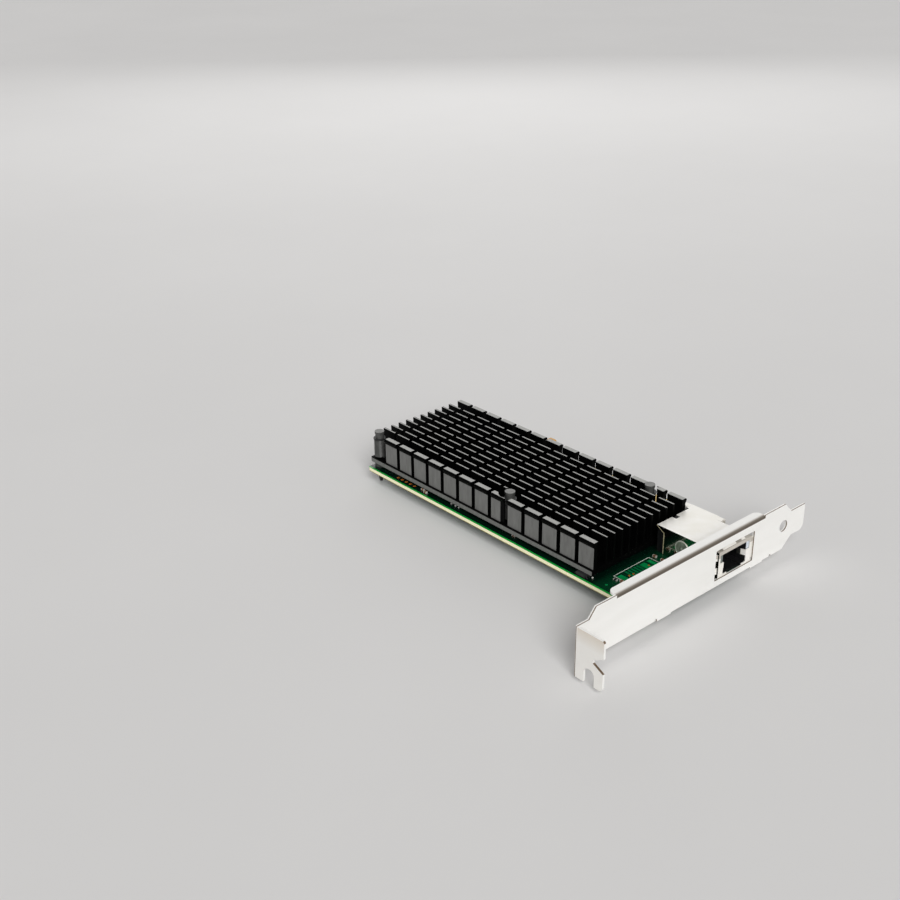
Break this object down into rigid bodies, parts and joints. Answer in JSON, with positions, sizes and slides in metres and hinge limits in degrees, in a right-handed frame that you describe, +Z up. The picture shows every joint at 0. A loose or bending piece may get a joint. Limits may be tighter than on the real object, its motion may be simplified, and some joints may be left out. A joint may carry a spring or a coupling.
{
  "type": "network interface card",
  "caption": "Plug-in network card with a black cross-cut pin-fin heatsink, a shielded modular jack, an edge connector and a full-height steel bracket.",
  "frame": {"origin": "centre of the edge connector's key notch, at the lower edge of the contacts, on the board's component side", "axes": "+X towards the bracket, +Y the way the card plugs in, +Z up from the component side"},
  "size_m": [0.1638, 0.12, 0.0236],
  "materials": {
    "board_green": "glossy solder mask",
    "gold": "plated",
    "package_substrate": "matte",
    "lid_metal": "satin",
    "pad_grey": "matte",
    "black_anodised": "anodised, satin",
    "black_plastic": "satin",
    "spring_steel": "plain",
    "bracket_steel": "bright plated",
    "screw_steel": "plated",
    "jack_metal": "bright plated",
    "jack_plastic": "satin",
    "tinned": "tinned",
    "light_green": "translucent",
    "light_clear": "translucent",
    "chip_black": "matte",
    "inductor_grey": "matte",
    "ceramic_tan": "matte",
    "crystal_can": "satin",
    "tantalum": "satin"
  },
  "bodies": {
    "root": {"circuit_board": "board_green", "edge_contacts_front": "gold", "edge_contacts_back": "gold", "controller_package": "package_substrate", "controller_lid": "lid_metal", "thermal_pad": "pad_grey", "heatsink": "black_anodised", "push_pins": "black_plastic", "pin_springs": "spring_steel", "bracket": "bracket_steel", "bracket_screws": "screw_steel", "jack_shield": "jack_metal", "jack_housing": "jack_plastic", "jack_contacts": "gold", "jack_solder_pins": "tinned", "left_light": "light_green", "right_light": "light_clear", "flash_chip": "chip_black", "regulator_chips": "chip_black", "power_inductors": "inductor_grey", "ceramic_capacitors": "ceramic_tan", "chip_resistors": "chip_black", "crystal": "crystal_can", "tall_capacitor": "tantalum", "solder_side_capacitors": "ceramic_tan"}
  },
  "joints": []
}
